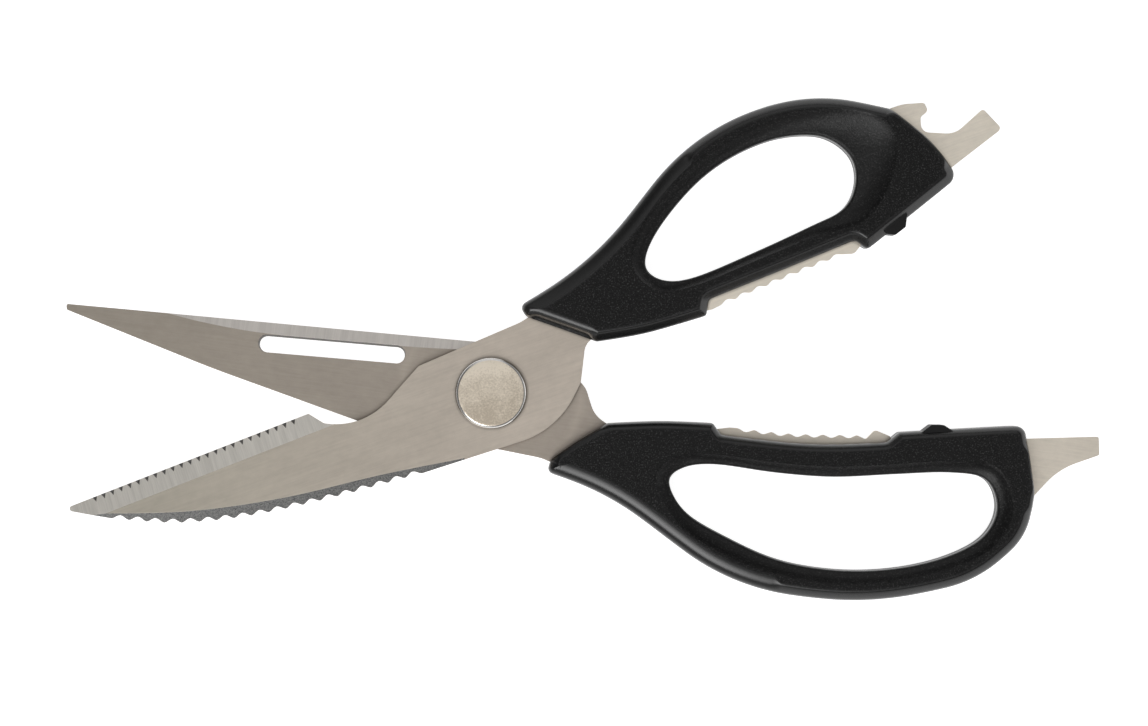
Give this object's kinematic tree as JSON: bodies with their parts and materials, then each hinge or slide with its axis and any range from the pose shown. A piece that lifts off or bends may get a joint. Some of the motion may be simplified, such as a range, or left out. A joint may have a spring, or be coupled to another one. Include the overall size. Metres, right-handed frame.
{
  "type": "poultry shears",
  "caption": "Poultry shears with a serrated blade and a slotted blade crossing on a disc-headed pivot, moulded loop handles, fish scaler, nut grip, bottle opener and screwdriver tip.",
  "frame": {"origin": "centre of the pivot, on the plane between the two blades", "axes": "+X along the mid-line of the shears towards the handles, +Y to the side of the front half's finger loop, +Z along the pivot axis, out through the stud's disc head"},
  "size_m": [0.2216, 0.1083, 0.011],
  "materials": {
    "blade_steel": "lengthwise brushed",
    "bright_steel": "fine satin with polished rim",
    "black_plastic": "fine matt grain with polished edges",
    "black_rubber": "smooth matt",
    "nylon": "smooth"
  },
  "bodies": {
    "front_half": {"front_blade": "blade_steel", "front_handle_upper": "black_plastic", "front_handle_lower": "black_plastic", "front_handle_dowels": "bright_steel", "front_stop": "black_rubber", "pivot_stud": "bright_steel", "blade_shim": "nylon", "thrust_washer": "bright_steel", "spring_washer": "bright_steel", "pivot_nut": "bright_steel"},
    "rear_half": {"rear_blade": "blade_steel", "rear_handle_upper": "black_plastic", "rear_handle_lower": "black_plastic", "rear_handle_dowels": "bright_steel", "rear_stop": "black_rubber"}
  },
  "joints": [
    {"name": "pivot", "type": "hinge", "parent": "front_half", "child": "rear_half", "pos_m": [0, 0, 0], "axis": [0, 0, 1], "range_deg": [-55, 25.75]}
  ]
}
